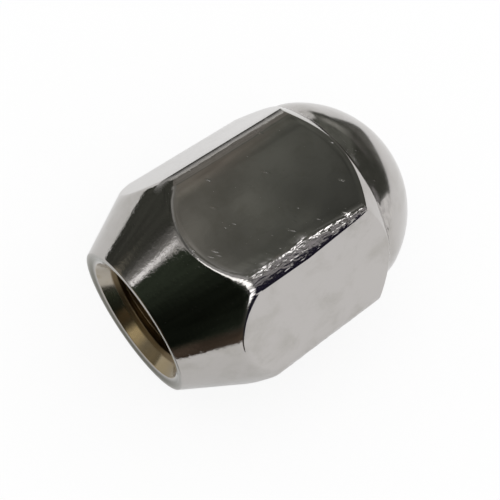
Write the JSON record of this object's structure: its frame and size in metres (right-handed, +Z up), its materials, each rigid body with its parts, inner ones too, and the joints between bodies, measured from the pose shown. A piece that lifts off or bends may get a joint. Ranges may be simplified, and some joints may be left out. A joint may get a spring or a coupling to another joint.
{
  "type": "lug nut",
  "caption": "Closed-end conical-seat wheel lug nut: hexagonal grip, tapered seat at the open end, domed closed end and a blind threaded hole, chrome plated.",
  "frame": {"origin": "under the nut's middle, on the surface that its lower flat rests on", "axes": "+X along the thread axis from the open end to the dome, +Z up, square to the upper flat; +Y completes a right-handed frame"},
  "size_m": [0.0308, 0.0236, 0.021],
  "materials": {
    "chrome_plate": "bright chrome plate on forged steel, a little rough on the long edges"
  },
  "bodies": {
    "root": {"nut_body": "chrome_plate"}
  },
  "joints": []
}
